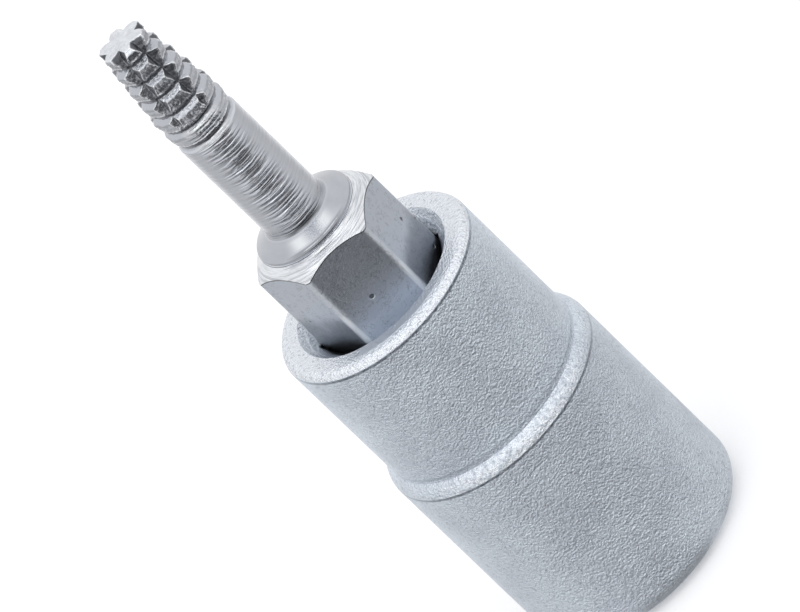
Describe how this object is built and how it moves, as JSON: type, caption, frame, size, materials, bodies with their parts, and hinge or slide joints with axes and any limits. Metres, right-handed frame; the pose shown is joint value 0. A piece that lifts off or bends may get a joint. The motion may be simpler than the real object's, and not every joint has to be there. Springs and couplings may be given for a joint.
{
  "type": "screw extractor",
  "caption": "Screw extractor bit with a fluted, ring-grooved tapered tip on a hex shank, pressed into a round drive socket with a square drive hole.",
  "frame": {"origin": "centre of the flat drive end face, where the square drive hole opens", "axes": "+Z along the tool's axis towards the extractor tip; two flats of the hex shank face -Y and +Y, and two sides of the square drive hole face -X and +X"},
  "size_m": [0.012, 0.012, 0.038],
  "materials": {
    "bit_steel": "turned and forged hardened steel, satin, with fine turning lines",
    "socket_chrome": "satin pearl chrome over a fine blasted surface"
  },
  "bodies": {
    "root": {"extractor_bit": "bit_steel", "drive_socket": "socket_chrome"}
  },
  "joints": []
}
